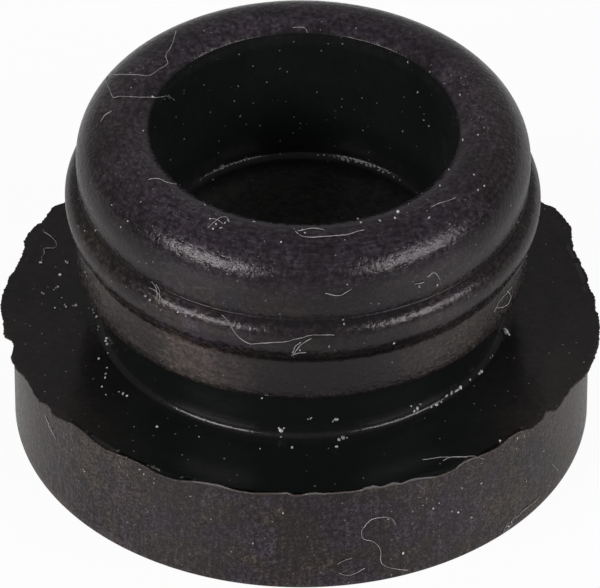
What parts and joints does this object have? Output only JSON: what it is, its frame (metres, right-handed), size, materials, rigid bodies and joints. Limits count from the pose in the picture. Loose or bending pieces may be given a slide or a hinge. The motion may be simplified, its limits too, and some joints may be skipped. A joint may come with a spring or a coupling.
{
  "type": "rubber blanking plug",
  "caption": "Round black rubber plug: thick flange, panel groove, barbed bead, rounded shoulder and a blind bore open at the top.",
  "frame": {"origin": "centre of the flange's flat outer face", "axes": "+Z along the plug's axis, from the flange to the open mouth of the bore; -Y faces the viewer of the picture"},
  "size_m": [0.0205, 0.0202, 0.0126],
  "materials": {
    "black_rubber": "moulded, semi-gloss, with dust and lint"
  },
  "bodies": {
    "root": {"plug_body": "black_rubber"}
  },
  "joints": []
}
